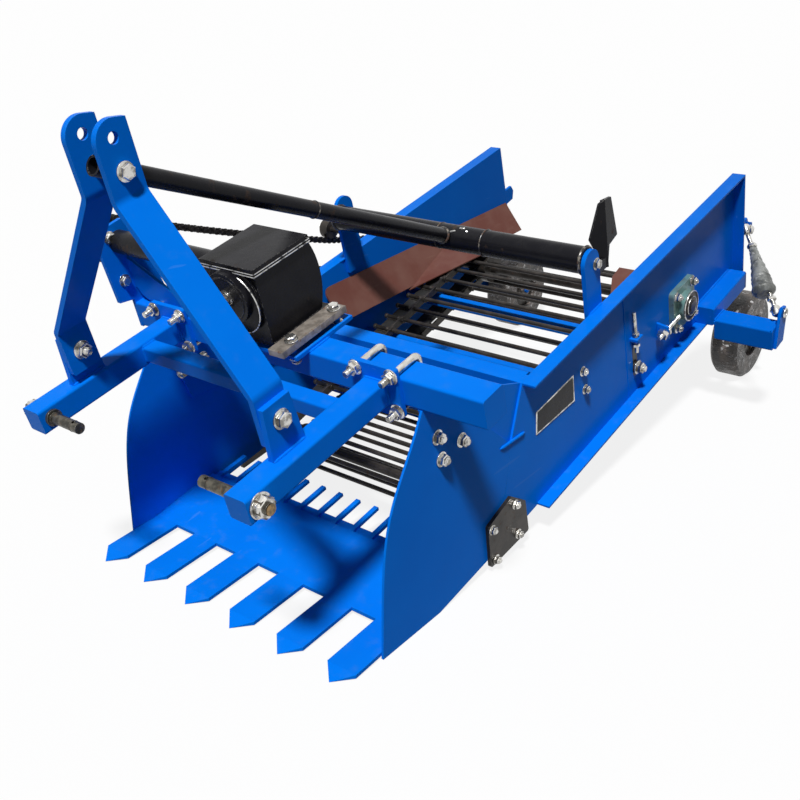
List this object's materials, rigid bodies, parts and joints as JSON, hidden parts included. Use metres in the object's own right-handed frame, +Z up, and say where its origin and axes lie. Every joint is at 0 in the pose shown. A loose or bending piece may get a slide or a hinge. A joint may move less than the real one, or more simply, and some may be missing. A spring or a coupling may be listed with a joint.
{
  "type": "potato harvester",
  "caption": "Mounted potato harvester: toothed digging share, rod web, open frame with mast and gearbox, side panels and depth wheels.",
  "frame": {"origin": "middle of the footprint on the ground, below the machine's bounding box centre", "axes": "+X across to the machine's own left side, +Y back from the hitch to the wheels, +Z up"},
  "size_m": [1.194, 1.9816, 0.9856],
  "materials": {
    "blue_paint": "gloss",
    "black_paint": "gloss",
    "zinc_steel": "satin",
    "dark_steel": "satin",
    "bearing_iron": "satin",
    "brown_rubber": "matte",
    "wheel_rubber": "matte"
  },
  "bodies": {
    "frame": {"blade_plate": "black_paint", "brace_tube": "black_paint", "chain_idler": "dark_steel", "cheek_plates": "blue_paint", "clamp_plates": "blue_paint", "comb": "blue_paint", "conveyor_web": "dark_steel", "crossbeam": "blue_paint", "deflector_strip_left": "brown_rubber", "deflector_strip_right": "brown_rubber", "drive_chain": "dark_steel", "drive_sprocket": "dark_steel", "driven_sprocket": "dark_steel", "fish_plates": "dark_steel", "front_cross_angle": "blue_paint", "front_web_axle": "dark_steel", "gearbox": "black_paint", "gearbox_cover": "black_paint", "gearbox_mount": "blue_paint", "hitch_arm_left": "blue_paint", "hitch_arm_right": "blue_paint", "hitch_cross_tie": "blue_paint", "hitch_pin_left": "zinc_steel", "hitch_pin_right": "zinc_steel", "mast_bar_left": "blue_paint", "mast_bar_right": "blue_paint", "mast_bolt": "zinc_steel", "mast_lugs": "blue_paint", "output_housing": "black_paint", "rear_cross_tube": "black_paint", "screw_links": "zinc_steel", "shaft_bearings": "bearing_iron", "shaft_bracket": "blue_paint", "share": "blue_paint", "shield_left": "blue_paint", "shield_right": "blue_paint", "side_panel_left": "blue_paint", "side_panel_right": "blue_paint", "u_bolts": "zinc_steel", "uprights": "blue_paint", "web_cross_ties": "blue_paint", "web_drive_shaft": "dark_steel", "wheel_arm_left": "blue_paint", "wheel_arm_right": "blue_paint", "wheel_carriers": "blue_paint"},
    "wheel_left": {"wheel_left": "wheel_rubber"},
    "wheel_right": {"wheel_right": "wheel_rubber"},
    "input_shaft": {"input_shaft": "zinc_steel"}
  },
  "joints": [
    {"name": "wheel_left_spin", "type": "hinge", "parent": "frame", "child": "wheel_left", "pos_m": [0.386, 0.8668, 0.124], "axis": [1, 0, 0], "continuous": true},
    {"name": "wheel_right_spin", "type": "hinge", "parent": "frame", "child": "wheel_right", "pos_m": [-0.386, 0.8668, 0.124], "axis": [1, 0, 0], "continuous": true},
    {"name": "input_shaft_spin", "type": "hinge", "parent": "frame", "child": "input_shaft", "pos_m": [0, -0.71815, 0.62377], "axis": [0, 0.977, 0.213], "continuous": true}
  ]
}
